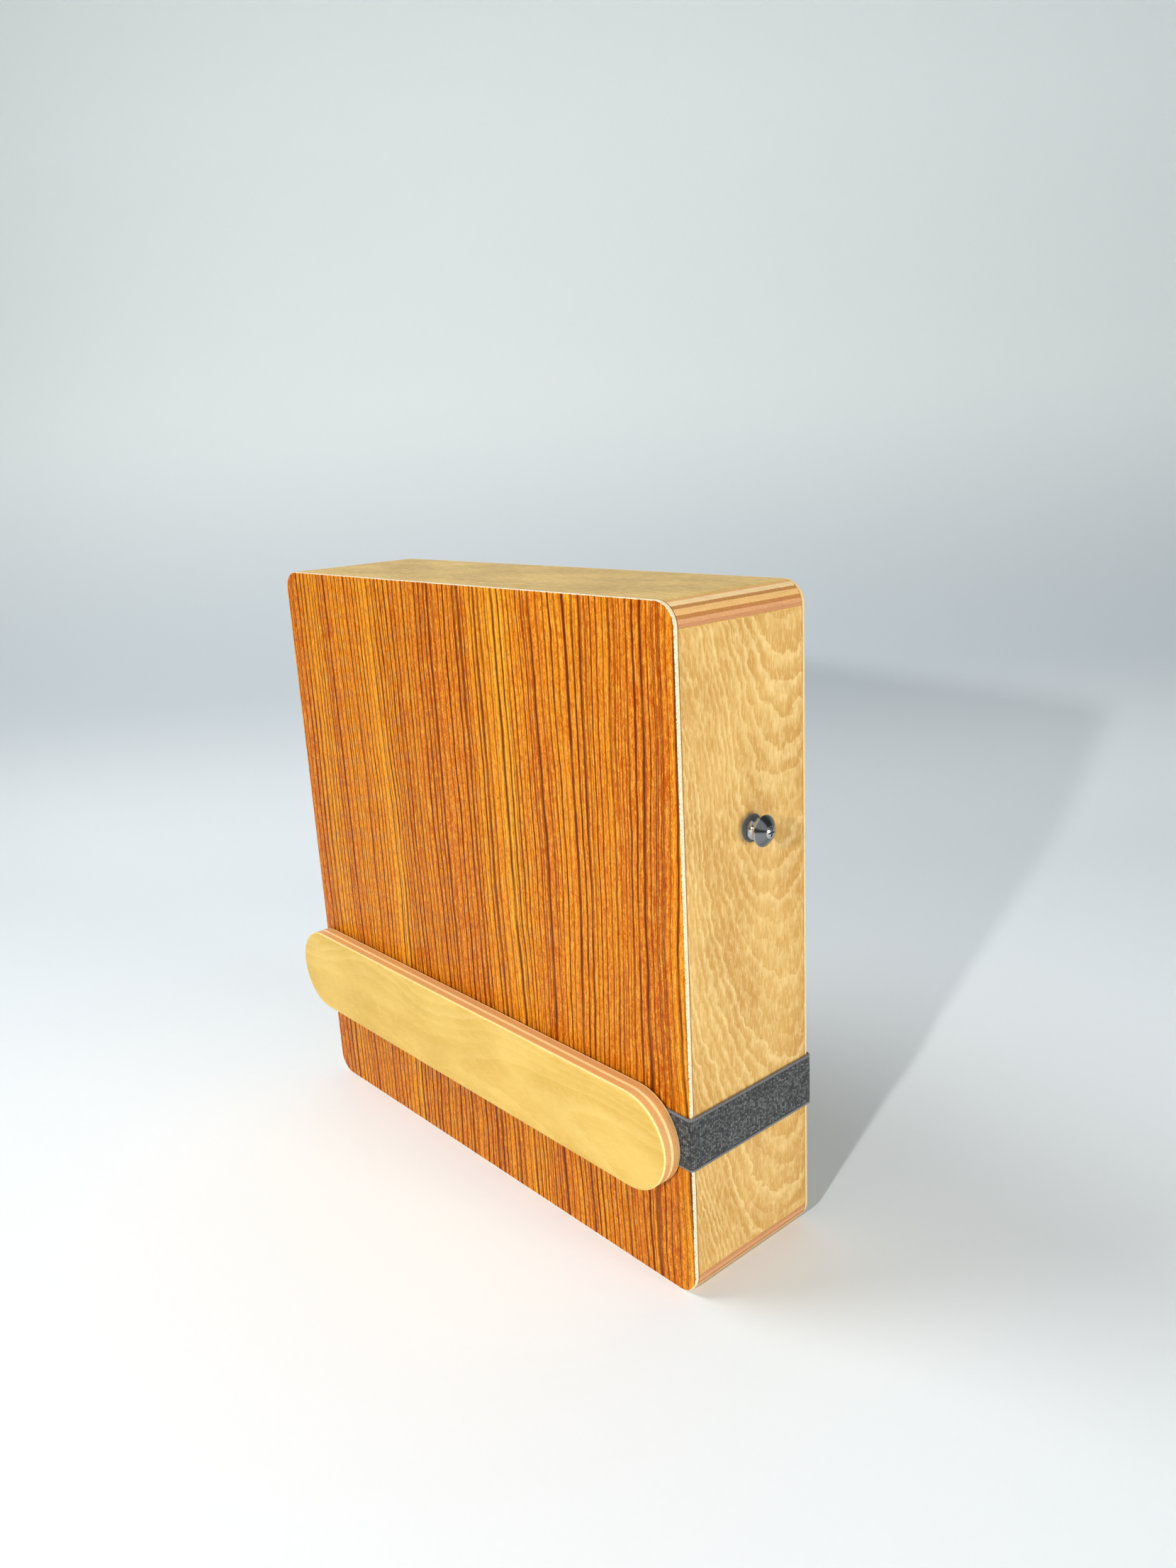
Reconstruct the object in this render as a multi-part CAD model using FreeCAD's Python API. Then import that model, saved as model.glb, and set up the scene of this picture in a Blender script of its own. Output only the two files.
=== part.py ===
"""A flat travel cajon: a thin plywood box drum with strap buttons, a string snare that is tuned
from below, and a plywood hold bar on an elastic band.

Millimetres. +X is to the right of someone who looks at the striking plate, -Y is out of the
striking plate and +Z is up. The origin is the middle of the box's underside.
"""

import FreeCAD, Part
import math
import os

V = FreeCAD.Vector
X, Y, Z = V(1, 0, 0), V(0, 1, 0), V(0, 0, 1)
close = 1e-6  # two places nearer than this are the same place

# ---- the box ----
box_width = 296.0
box_height = 300.0
box_depth = 76.0  # striking plate and back panel included
board = 11.0  # plywood of the four frame boards
plate_core = 1.4  # plain core of the striking plate (tapa)
plate_veneer = 0.6  # striped face veneer on it
back_panel_thickness = 2.0
corner_radius = 10.0  # outline corners, cut flush through plates and boards
veneer_ease = 0.4  # rounding of the striking plate's sharp edge
back_ease = 0.8
seam = 0.15  # small arris where a frame board meets a plate
sound_hole_radius = 45.0
sound_hole_height = 180.0

# ---- frame joints ----
dowel_radius = 3.0
dowel_cover = 5.0  # wood left over the dowels in the top and bottom boards
dowel_in_side_board = 18.0
dowel_inset = 13.0  # outer dowels from the frame's front and back edges
dowel_clearance = 0.05
block_leg = 18.0  # triangular corner block
block_end_gap = 5.0  # between a corner block and each plate

# ---- string snare ----
string_radius = 0.4
string_clearance = 0.05  # between a string and the striking plate
string_tail = 6.0  # length that goes into the carrier
ball_radius = 2.0
ball_length = 3.4
string_fan = 18.0  # how far each string leans out from its carrier at the top
rail_width = 124.0
rail_depth = 12.0
rail_height = 16.0
plate_gap = 1.6  # air between the striking plate and the snare's wooden parts
anchor_drop = 7.0  # ball ends below the top of the rail

# ---- string tension ----
carrier_width = 10.0
carrier_depth = 10.5
carrier_height = 14.0
carrier_travel = 3.5  # each way
carrier_spacing = 60.0
slide_clearance = 0.15
string_hole_offset = 3.8
string_hole_radius = 0.5
block_wall = 9.0  # wood outside each carrier channel
block_back = 6.0  # wood behind each carrier channel
block_floor = 6.0  # wood under each carrier channel
screw_radius = 2.5
screw_length = 32.0
screw_head_radius = 4.25
screw_head_height = 5.0
screw_head_chamfer = 0.425
screw_tip_chamfer = 0.5
screw_running = 0.05  # radial clearance of the screw in its carrier
screw_hole_clearance = 0.3
head_recess = 0.5  # the head sits this far inside the underside
head_hole_clearance = 0.5
hex_across_flats = 4.0
hex_depth = 2.5
washer_thickness = 1.0

# ---- strap buttons ----
button_height = 203.3  # their centres above the underside
button_setback = 2.5  # their centres behind the middle of the depth
felt_radius = 6.0
felt_thickness = 1.3
flange_radius = 4.7
neck_radius = 3.2
head_radius = 6.7
button_length = 9.1  # from the felt to the front of the head
flange_share = 0.08  # places along the button, as shares of its length from the felt
neck_share = 0.37
rim_share = 0.63
rim_thickness_share = 0.03
waist_bulge = (0.35, 0.28)  # a point on each curve, as shares of the way along and outward
under_bulge = (0.62, 0.30)
dome_bulge = 0.5
dome_drop = 1.7  # the head is this much narrower there than at its rim
button_bore_radius = 1.95
recess_radius = 2.6
recess_lip = 0.2  # flat ring round the screw's seat
strap_screw_radius = 1.75
strap_screw_cover = 1.5  # wood left beyond the screw's tip
strap_screw_dome = 0.7
screw_dome_bulge = (0.72, 0.58)  # a point on the dome, as shares of its height and radius
cross_reach = 1.86  # each wing of the screw's recess, from the middle
cross_width = 0.9
cross_depth = 1.3
pilot_clearance = 0.05

# ---- elastic band and hold bar ----
band_width = 25.0
band_thickness = 1.2
band_height = 75.0  # middle of the band above the underside
band_gap = 0.15  # between the band and the box
band_bend = 0.75  # inside radius where the band turns round a corner of the box
band_end_length = 62.0  # stretch of each band end on the back of the bar
bar_overlength = 6.0  # the bar is this much longer than the box is wide
bar_width = 46.0
bar_thickness = 10.0
bar_height = 71.0  # middle of the bar above the underside
bar_offset = -8.0  # the bar sits a little to the left
bar_front_ease = 1.2
bar_back_ease = 0.5
staple_crown = 10.0
staple_wire_width = 1.2
staple_wire_thickness = 0.8
staple_leg = 6.5
staple_columns = (0.35, 0.75)  # shares of a band end's length
staple_rows = (-0.25, 0.25)  # shares of the band's width from its middle

# ---- places that follow from the sizes ----
half_width = box_width / 2
half_depth = box_depth / 2
front_face = -half_depth
core_back = front_face + plate_veneer + plate_core
back_inner = half_depth - back_panel_thickness
frame_depth = back_inner - core_back
frame_middle = (back_inner + core_back) / 2
cavity_top = box_height - board
dowel_in_face_board = board - dowel_cover
dowel_spacing = frame_depth / 2 - dowel_inset
block_length = frame_depth - 2 * block_end_gap
strap_screw_in_board = board - strap_screw_cover
bar_length = box_width + bar_overlength
string_line = core_back + string_clearance + string_radius
string_bend = plate_gap - string_clearance - string_radius
snare_front = core_back + plate_gap
screw_line = snare_front + carrier_depth / 2
channel_floor = board + block_floor
carrier_middle = channel_floor + carrier_height / 2 + carrier_travel + slide_clearance
band_inner_x = half_width + band_gap
band_inner_y = half_depth + band_gap
band_outer_x = band_inner_x + band_thickness
band_outer_y = band_inner_y + band_thickness
bar_back = -band_outer_y
sides = {"left": -1, "right": 1}


def box(x0, x1, y0, y1, z0, z1):
    return Part.makeBox(x1 - x0, y1 - y0, z1 - z0, V(x0, y0, z0))


def slab(y0, y1):
    """A plate as wide and high as the box, with its rounded corners, between two depths."""
    plain = box(-half_width, half_width, y0, y1, 0, box_height)
    corners = [e for e in plain.Edges if max(e.BoundBox.XLength, e.BoundBox.ZLength) < close]
    return plain.makeFillet(corner_radius, corners)


def outline(shape, y):
    """The edges of a slab that lie in one upright plane."""
    return [
        e
        for e in shape.Edges
        if abs(e.BoundBox.YMin - y) < close and abs(e.BoundBox.YMax - y) < close
    ]


def turned(profile, start, axis=X):
    """A solid of revolution from a closed list of edges, in X (along) and Y (radius)."""
    solid = Part.Face(Part.Wire(profile)).revolve(V(0, 0, 0), X, 360)
    solid = Part.makeSolid(solid) if solid.ShapeType != "Solid" else solid
    solid.Placement = FreeCAD.Placement(start, FreeCAD.Rotation(X, axis))
    return solid


def lines(*points):
    return [Part.LineSegment(V(*a), V(*b)).toShape() for a, b in zip(points, points[1:])]


def arc(a, middle, b):
    return Part.Arc(V(*a), V(*middle), V(*b)).toShape()


def tube(path_edges, radius, start, direction):
    """A round wire along joined edges."""
    circle = Part.Wire([Part.makeCircle(radius, start, direction)])
    return Part.Wire(path_edges).makePipeShell([circle], True, False)


def save(name, *solids):
    shape = solids[0] if len(solids) == 1 else Part.makeCompound(list(solids))
    for solid in shape.Solids:
        if not solid.isValid() or solid.Volume <= 0:
            raise ValueError(f"{name} isn't a sound solid")
    shape.exportStep(f"parts/{name}.step")


# ---- holes that several pieces share ----


def dowels(clearance=0.0):
    """Four corners of dowels, three in each, across the joints of the frame."""
    pins = []
    for x in (-1, 1):
        for joint, up in ((board, -1), (cavity_top, 1)):
            for row in (-1, 0, 1):
                foot = V(
                    x * (half_width - board / 2),
                    frame_middle + row * dowel_spacing,
                    joint - up * dowel_in_side_board,
                )
                length = dowel_in_side_board + dowel_in_face_board
                pins.append(Part.makeCylinder(dowel_radius + clearance, length, foot, Z * up))
    return pins


def carrier_x(side):
    return sides[side] * carrier_spacing / 2


def string_ends(side, lean):
    """The ball end and the carrier hole of one string, on the line of the strings."""
    x = carrier_x(side)
    top = V(x + lean * string_fan, string_line, cavity_top - anchor_drop)
    foot = V(x + lean * string_hole_offset, string_line, carrier_middle)
    return top, foot


def ball(top):
    front = core_back + string_clearance / 2
    return Part.makeCylinder(ball_radius, ball_length, V(top.x, front, top.z), Y)


# ---- the box ----


def frame_boards():
    outer = slab(core_back, back_inner)
    outer = outer.makeChamfer(seam, outline(outer, core_back) + outline(outer, back_inner))
    inside = box(
        -half_width + board, half_width - board, core_back, back_inner, board, cavity_top
    )
    ring = outer.cut(inside)
    drilled = ring.cut(Part.makeCompound(dowels(dowel_clearance)))

    def piece(x0, x1, z0, z1):
        return drilled.common(box(x0, x1, core_back, back_inner, z0, z1))

    top = piece(-half_width, half_width, cavity_top, box_height)
    bottom = piece(-half_width, half_width, 0, board)
    left = piece(-half_width, -half_width + board, board, cavity_top)
    right = piece(half_width - board, half_width, board, cavity_top)
    for side in sides:
        bottom = bottom.cut(screw_way(side))
    left = left.cut(strap_pilot("left"))
    right = right.cut(strap_pilot("right"))
    return {
        "top_board": top,
        "bottom_board": bottom,
        "left_side_board": left,
        "right_side_board": right,
    }


def corner_block(x, z):
    """A triangular glue block in one inside corner of the frame."""
    corner = V(x * (half_width - board), frame_middle - block_length / 2, 0)
    corner.z = cavity_top if z > 0 else board
    along, down = corner - X * (x * block_leg), corner - Z * (z * block_leg)
    face = Part.Face(Part.makePolygon([corner, along, down, corner]))
    return face.extrude(Y * block_length)


def striking_plate():
    split = front_face + plate_veneer
    veneer = slab(front_face, split)
    veneer = veneer.makeFillet(veneer_ease, outline(veneer, front_face))
    return veneer, slab(split, core_back)


def back_panel():
    panel = slab(back_inner, half_depth)
    panel = panel.makeFillet(back_ease, outline(panel, half_depth))
    hole = Part.makeCylinder(
        sound_hole_radius, back_panel_thickness, V(0, back_inner, sound_hole_height), Y
    )
    panel = panel.cut(hole)
    rims = [
        e
        for e in panel.Edges
        if e.Curve.TypeId == "Part::GeomCircle"
        and abs(e.Curve.Radius - sound_hole_radius) < close
    ]
    return panel.makeFillet(back_ease, rims)


# ---- the snare ----


def string_rail():
    rail = box(
        -rail_width / 2,
        rail_width / 2,
        snare_front,
        snare_front + rail_depth,
        cavity_top - rail_height,
        cavity_top,
    )
    for side in sides:
        for lean in (-1, 1):
            rail = rail.cut(ball(string_ends(side, lean)[0]))
    return rail


def snare_strings(side):
    """The two strings of one carrier, from their ball ends to the carrier's holes."""
    strings, balls = [], []
    for lean in (-1, 1):
        top, foot = string_ends(side, lean)
        down = (foot - top).normalize()
        bend_start, bend_end = foot - down * string_bend, foot + Y * string_bend
        centre = bend_start + Y * string_bend
        middle = centre + (down - Y) * (string_bend / math.sqrt(2))
        path = [
            Part.LineSegment(top, bend_start).toShape(),
            Part.Arc(bend_start, middle, bend_end).toShape(),
            Part.LineSegment(bend_end, bend_end + Y * string_tail).toShape(),
        ]
        balls.append(ball(top))
        strings.append(tube(path, string_radius, top, down).cut(balls[-1]))
    return strings, balls


def string_carrier(side):
    x = carrier_x(side)
    low = carrier_middle - carrier_height / 2
    block = box(
        x - carrier_width / 2,
        x + carrier_width / 2,
        snare_front,
        snare_front + carrier_depth,
        low,
        low + carrier_height,
    )
    thread = Part.makeCylinder(
        screw_radius + screw_running, carrier_height, V(x, screw_line, low), Z
    )
    block = block.cut(thread)
    for lean in (-1, 1):
        foot = V(x + lean * string_hole_offset, snare_front, carrier_middle)
        block = block.cut(Part.makeCylinder(string_hole_radius, carrier_depth, foot, Y))
    return block


def tension_block():
    """The hardwood block whose two channels keep the carriers from turning."""
    reach = carrier_spacing / 2 + carrier_width / 2 + slide_clearance + block_wall
    channel_back = snare_front + carrier_depth + slide_clearance
    channel_top = carrier_middle + carrier_height / 2 + carrier_travel
    block = box(-reach, reach, snare_front, channel_back + block_back, board, channel_top)
    half_channel = carrier_width / 2 + slide_clearance
    for side in sides:
        x = carrier_x(side)
        block = block.cut(
            box(
                x - half_channel,
                x + half_channel,
                snare_front,
                channel_back,
                channel_floor,
                channel_top,
            )
        )
        block = block.cut(screw_way(side))
    return block


def washer_top():
    return head_recess + screw_head_height + washer_thickness


def screw_way(side):
    """The stepped hole that a tension screw and its washer sit in."""
    foot = V(carrier_x(side), screw_line, 0)
    head = Part.makeCylinder(screw_head_radius + head_hole_clearance, washer_top(), foot, Z)
    shank = Part.makeCylinder(screw_radius + screw_hole_clearance, channel_floor, foot, Z)
    return head.fuse(shank)


def tension_screw(side):
    foot = V(carrier_x(side), screw_line, head_recess)
    head = Part.makeCylinder(screw_head_radius, screw_head_height, foot, Z)
    head = head.makeChamfer(
        screw_head_chamfer, [e for e in head.Edges if e.BoundBox.ZMax < foot.z + close]
    )
    corner = hex_across_flats / math.sqrt(3)
    ring = [
        foot + V(corner * math.cos(a), corner * math.sin(a), 0)
        for a in (math.radians(60 * i) for i in range(7))
    ]
    socket = Part.Face(Part.makePolygon(ring)).extrude(Z * hex_depth)
    shank_foot = foot + Z * screw_head_height
    shank = Part.makeCylinder(screw_radius, screw_length, shank_foot, Z)
    tip = shank_foot.z + screw_length
    shank = shank.makeChamfer(
        screw_tip_chamfer, [e for e in shank.Edges if e.BoundBox.ZMin > tip - close]
    )
    return head.cut(socket).fuse(shank).removeSplitter()


def tension_washer(side):
    foot = V(carrier_x(side), screw_line, head_recess + screw_head_height)
    ring = Part.makeCylinder(screw_head_radius, washer_thickness, foot, Z)
    return ring.cut(
        Part.makeCylinder(screw_radius + screw_hole_clearance, washer_thickness, foot, Z)
    )


# ---- the strap buttons ----


def strap_axis(side):
    return V(sides[side] * half_width, button_setback, button_height), X * sides[side]


def strap_pilot(side):
    start, out = strap_axis(side)
    return Part.makeCylinder(
        strap_screw_radius + pilot_clearance, strap_screw_in_board + pilot_clearance, start, out * -1
    )


def felt_washer(side):
    start, out = strap_axis(side)
    disc = Part.makeCylinder(felt_radius, felt_thickness, start, out)
    return disc.cut(Part.makeCylinder(button_bore_radius, felt_thickness, start, out))


def button_marks():
    """Distances along a strap button: flange top, neck, rim underside, rim top, front."""
    front = felt_thickness + button_length
    flange_top = felt_thickness + flange_share * button_length
    neck = felt_thickness + neck_share * button_length
    rim = felt_thickness + rim_share * button_length
    return flange_top, neck, rim, rim + rim_thickness_share * button_length, front


def seat_depth():
    """The screw's seat is a right-angled cone, so it is as deep as it is wide."""
    return recess_radius - button_bore_radius


def strap_button(side):
    start, out = strap_axis(side)
    flange_top, neck, rim, rim_top, front = button_marks()
    dome_middle = (rim_top + dome_bulge * (front - rim_top), head_radius - dome_drop, 0)
    seat = front - seat_depth()
    under = (
        neck + under_bulge[0] * (rim - neck),
        neck_radius + under_bulge[1] * (head_radius - neck_radius),
        0,
    )
    waist = (
        flange_top + waist_bulge[0] * (neck - flange_top),
        neck_radius + waist_bulge[1] * (flange_radius - neck_radius),
        0,
    )
    profile = lines(
        (seat, button_bore_radius, 0),
        (felt_thickness, button_bore_radius, 0),
        (felt_thickness, flange_radius, 0),
        (flange_top, flange_radius, 0),
    )
    profile.append(arc((flange_top, flange_radius, 0), waist, (neck, neck_radius, 0)))
    profile.append(arc((neck, neck_radius, 0), under, (rim, head_radius, 0)))
    profile += lines((rim, head_radius, 0), (rim_top, head_radius, 0))
    profile.append(
        arc((rim_top, head_radius, 0), dome_middle, (front, recess_radius + recess_lip, 0))
    )
    profile += lines(
        (front, recess_radius + recess_lip, 0),
        (front, recess_radius, 0),
        (seat, button_bore_radius, 0),
    )
    return turned(profile, start, out)


def strap_screw(side):
    """A raised countersunk screw with a cross recess; its thread isn't cut."""
    start, out = strap_axis(side)
    front = felt_thickness + button_length
    seat = front - (recess_radius - strap_screw_radius)
    top = front + strap_screw_dome
    tip = -strap_screw_in_board
    point = strap_screw_radius
    rise = arc(
        (front, recess_radius, 0),
        (
            front + screw_dome_bulge[0] * strap_screw_dome,
            screw_dome_bulge[1] * recess_radius,
            0,
        ),
        (top, 0, 0),
    )
    profile = [rise] + lines(
        (top, 0, 0),
        (tip, 0, 0),
        (tip + point, strap_screw_radius, 0),
        (seat, strap_screw_radius, 0),
        (front, recess_radius, 0),
    )
    screw = turned(profile, start, out)
    foot = start.x + out.x * (top - cross_depth)
    low, high = sorted((foot, foot + out.x * (cross_depth + strap_screw_dome)))
    y, z = start.y, start.z
    for a, b in ((cross_reach, cross_width / 2), (cross_width / 2, cross_reach)):
        screw = screw.cut(box(low, high, y - a, y + a, z - b, z + b))
    return screw


# ---- the elastic band and the hold bar ----


def band_loop():
    """The whole band round the box, before it is shared out."""

    def prism(x, y, radius):
        low = band_height - band_width / 2
        plain = box(-x, x, -y, y, low, low + band_width)
        return plain.makeFillet(
            radius,
            [e for e in plain.Edges if max(e.BoundBox.XLength, e.BoundBox.YLength) < close],
        )

    outer = prism(band_outer_x, band_outer_y, band_bend + band_thickness)
    return outer.cut(prism(band_inner_x, band_inner_y, band_bend))


def band_parts():
    """The run round the sides and back, and the two ends that lie behind the bar."""
    loop = band_loop()
    low, high = band_height - band_width, band_height + band_width
    far = band_outer_x + band_bend
    run = loop.common(box(-far, far, front_face, band_outer_y, low, high))
    ends = {}
    for side, s in sides.items():
        x = sorted((s * far, s * (band_outer_x - band_end_length)))
        ends[side] = loop.common(box(x[0], x[1], -band_outer_y, front_face, low, high))
    return run, ends


def staples():
    """Four staples in each band end, with their crowns sunk in the elastic."""
    made = []
    crown_low = -band_inner_y - staple_wire_thickness
    for s in sides.values():
        for column in staple_columns:
            x = s * (band_outer_x - column * band_end_length)
            for row in staple_rows:
                z = band_height + row * band_width
                z0, z1 = z - staple_wire_width / 2, z + staple_wire_width / 2
                x0, x1 = x - staple_crown / 2, x + staple_crown / 2
                staple = box(x0, x1, crown_low, -band_inner_y, z0, z1)
                for leg in (x0, x1 - staple_wire_thickness):
                    wire = box(
                        leg,
                        leg + staple_wire_thickness,
                        -band_inner_y - staple_leg,
                        -band_inner_y,
                        z0,
                        z1,
                    )
                    staple = staple.fuse(wire)
                made.append(staple.removeSplitter())
    return made


def hold_bar():
    """A strip with full round ends, its front edges eased more than its back ones."""
    front = bar_back - bar_thickness
    reach = bar_length / 2 - bar_width / 2
    top, low = bar_height + bar_width / 2, bar_height - bar_width / 2
    right, left = bar_offset + reach, bar_offset - reach
    edges = lines((left, front, top), (right, front, top))
    edges.append(
        arc((right, front, top), (right + bar_width / 2, front, bar_height), (right, front, low))
    )
    edges += lines((right, front, low), (left, front, low))
    edges.append(
        arc((left, front, low), (left - bar_width / 2, front, bar_height), (left, front, top))
    )
    bar = Part.Face(Part.Wire(edges)).extrude(Y * bar_thickness)
    bar = bar.makeFillet(bar_front_ease, outline(bar, front))
    return bar.makeFillet(bar_back_ease, outline(bar, bar_back))


def main():
    os.makedirs("parts", exist_ok=True)

    for name, shape in frame_boards().items():
        save(name, shape)
    veneer, core = striking_plate()
    save("tapa_veneer", veneer)
    save("tapa_core", core)
    save("back_panel", back_panel())
    save("corner_dowels", *dowels())
    for level, z in (("top", 1), ("bottom", -1)):
        for side, x in sides.items():
            save(f"corner_block_{level}_{side}", corner_block(x, z))

    save("string_rail", string_rail())
    save("tension_block", tension_block())
    for side in sides:
        strings, balls = snare_strings(side)
        save(f"snare_strings_{side}", *strings)
        save(f"string_ball_ends_{side}", *balls)
        save(f"string_carrier_{side}", string_carrier(side))
        save(f"tension_screw_{side}", tension_screw(side))
        save(f"tension_washer_{side}", tension_washer(side))
        save(f"strap_felt_{side}", felt_washer(side))
        save(f"strap_button_{side}", strap_button(side))
        save(f"strap_screw_{side}", strap_screw(side))

    run, ends = band_parts()
    fixings = Part.makeCompound(staples())
    save("elastic_band", run)
    for side, end in ends.items():
        save(f"band_end_{side}", end.cut(fixings))
    save("band_staples", *fixings.Solids)
    save("hold_bar", hold_bar().cut(fixings))


main()
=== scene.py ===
import math
from collections import namedtuple

import bpy
import numpy as np
from mathutils import Matrix, Vector


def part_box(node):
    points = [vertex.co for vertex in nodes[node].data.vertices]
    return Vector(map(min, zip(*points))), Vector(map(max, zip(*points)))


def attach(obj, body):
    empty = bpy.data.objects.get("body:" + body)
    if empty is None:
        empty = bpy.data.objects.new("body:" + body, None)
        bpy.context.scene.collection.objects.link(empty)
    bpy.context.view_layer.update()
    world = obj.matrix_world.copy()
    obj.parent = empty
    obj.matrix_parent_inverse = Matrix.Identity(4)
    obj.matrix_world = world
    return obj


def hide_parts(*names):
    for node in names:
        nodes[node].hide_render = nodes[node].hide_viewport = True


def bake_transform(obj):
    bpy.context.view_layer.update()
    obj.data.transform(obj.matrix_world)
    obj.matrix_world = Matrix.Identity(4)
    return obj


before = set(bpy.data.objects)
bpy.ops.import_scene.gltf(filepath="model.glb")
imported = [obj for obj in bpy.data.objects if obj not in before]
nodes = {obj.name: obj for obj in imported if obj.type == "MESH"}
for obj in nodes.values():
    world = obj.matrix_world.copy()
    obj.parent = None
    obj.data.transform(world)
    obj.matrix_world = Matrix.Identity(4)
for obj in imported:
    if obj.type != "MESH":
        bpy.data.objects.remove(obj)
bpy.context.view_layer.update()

# ---- sizes, in metres, that the frame doesn't give ----
MM = 0.001
CORNER_RADIUS = 10 * MM  # of the box's outline
BAND_THICKNESS = 1.2 * MM
BAND_BEND = 0.75 * MM  # inside radius of its turns
BAND_EDGE_ROUND = 0.6 * MM
BAND_END_CLEARANCE = 0.25 * MM  # between the striking plate and the band's ends
BAND_END_REACH = 60 * MM  # how far from each end that clearance goes
BAND_END_EASE = 8 * MM  # over which it fades out
RIB_PITCH = 1.05 * MM  # ribs across the elastic
RIB_DEPTH = 0.2 * MM
THREAD_PITCH = 0.85 * MM  # threads along each rib
THREAD_DEPTH = 0.09 * MM
SELVEDGE_WIDTH = 1.5 * MM
SELVEDGE_PITCH = 0.7 * MM
SELVEDGE_DEPTH = 0.08 * MM
GROOVE_DEPTH = 0.3 * MM  # between the selvedge and the ribs
GROOVE_PLACE = 1.55 * MM  # from the band's edge
GROOVE_SPREAD = 0.28 * MM
STRING_RADIUS = 0.4 * MM
STRING_BEND = 1.15 * MM  # where a string turns into its carrier
WINDING_PITCH = 0.5 * MM
WINDING_WAIST = 0.84  # radius between two windings, as a share of the string's
FELT_BORE = 1.95 * MM  # radius of the hole for the strap button's screw
FELT_RIM_ROUND = 0.5 * MM
FELT_RAG = 0.006  # how uneven the rim is, as a share of its radius

# ---- the camera: metres for its place, degrees for its angles, millimetres for its lens ----
CAMERA_AT = (0.458, -0.3502, 0.3543)
CAMERA_AZIMUTH, CAMERA_ELEVATION, CAMERA_ROLL = 49.306, 15.487, -3.1445
CAMERA_LENS, CAMERA_SENSOR = 27.53, 36

# ---- the backdrop, in metres: its floor in front, the curve behind the object, its wall ----
FLOOR_REACH, WALL_HEIGHT, BACKDROP_HALF_WIDTH = 2.5, 4.0, 4.0
CURVE_START, CURVE_RADIUS = 0.4, 0.8


# ---------------------------------------------------------------- materials


def rgb(red, green, blue):
    """A colour as seen, 0 to 255, as the linear colour that a shader needs."""
    linear = [
        c / 12.92 if c <= 0.04045 else ((c + 0.055) / 1.055) ** 2.4
        for c in (red / 255, green / 255, blue / 255)
    ]
    return (*linear, 1.0)


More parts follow.
